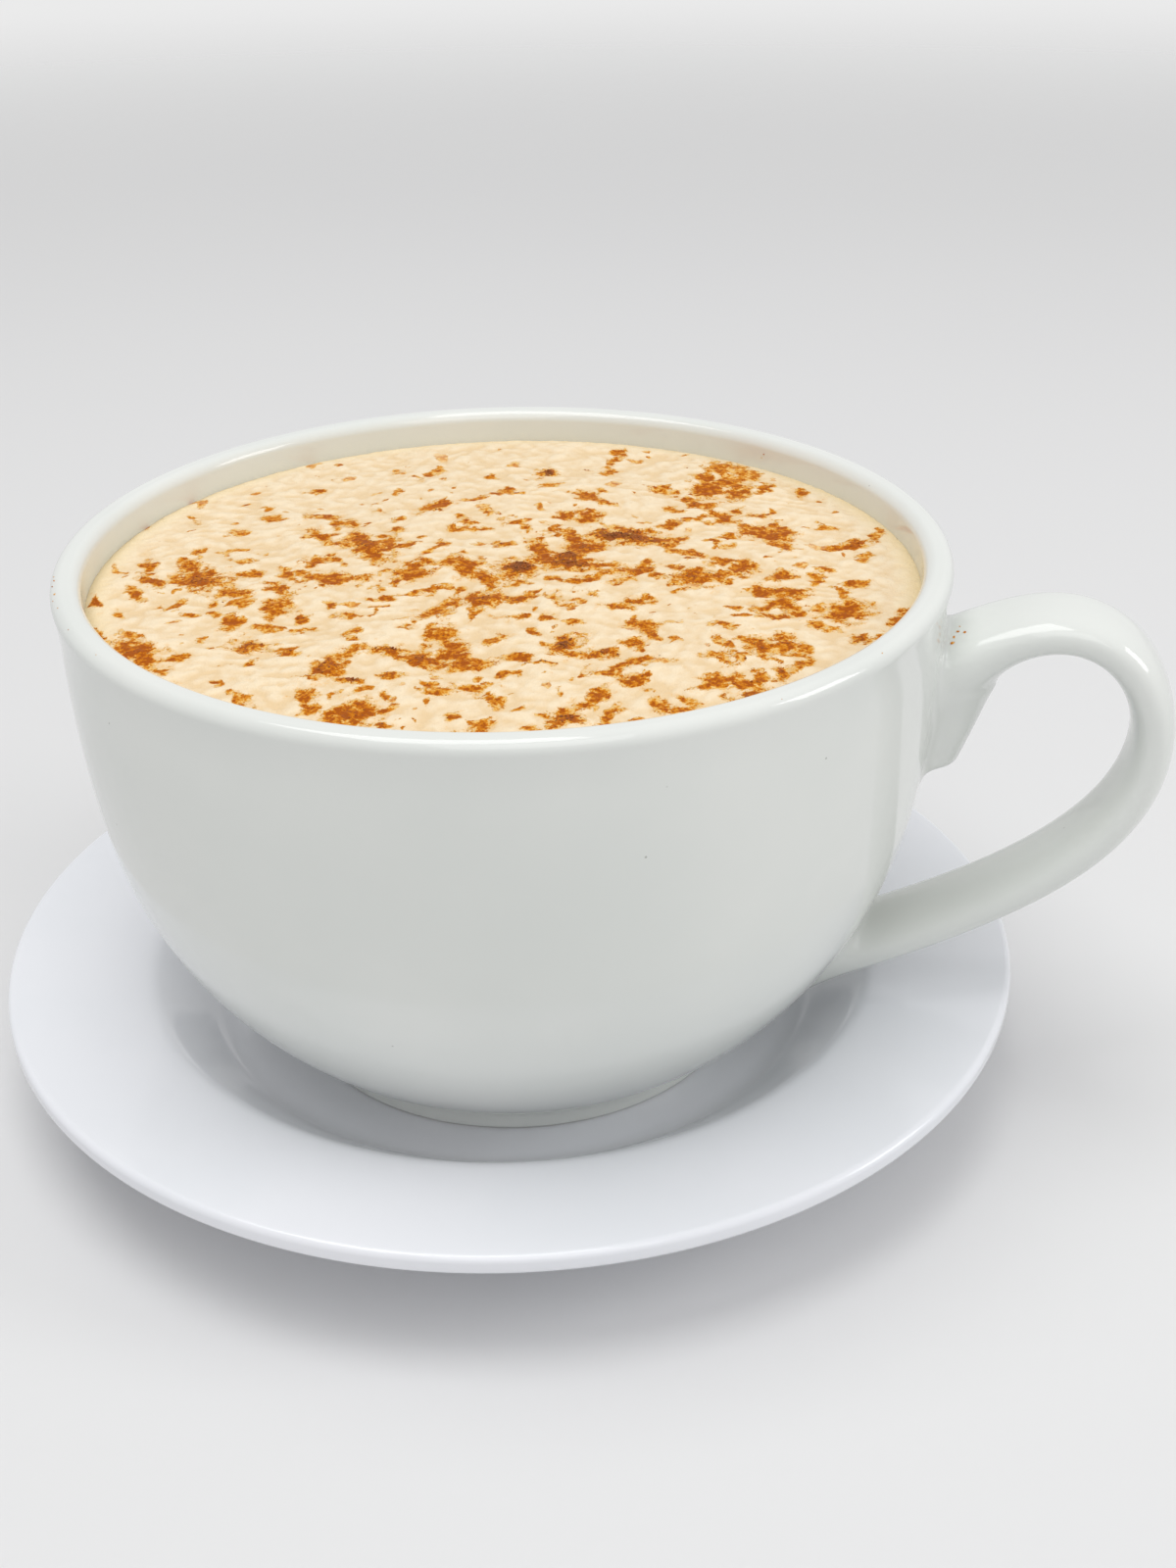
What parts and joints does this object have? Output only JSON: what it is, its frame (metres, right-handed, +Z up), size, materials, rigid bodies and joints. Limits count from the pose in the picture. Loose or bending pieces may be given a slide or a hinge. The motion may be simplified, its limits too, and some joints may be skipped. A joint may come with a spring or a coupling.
{
  "type": "vanilla latte",
  "caption": "Latte with milk foam and sprinkled spice in a wide round porcelain cup with a loop handle, on a saucer.",
  "frame": {"origin": "middle of the saucer's foot ring, on the surface it stands on", "axes": "+Z up; the cup's handle points along +X, turned 13.5 degrees towards -Y"},
  "size_m": [0.1571, 0.143, 0.0771],
  "materials": {
    "saucer_glaze": "glossy cool white glaze",
    "cup_glaze": "glossy warm white glaze",
    "milk_foam": "cream milk foam, pebbly and slightly moist",
    "spice": "soaked orange-brown ground spice"
  },
  "bodies": {
    "root": {"saucer": "saucer_glaze", "cup": "cup_glaze", "latte": "milk_foam"}
  },
  "joints": []
}
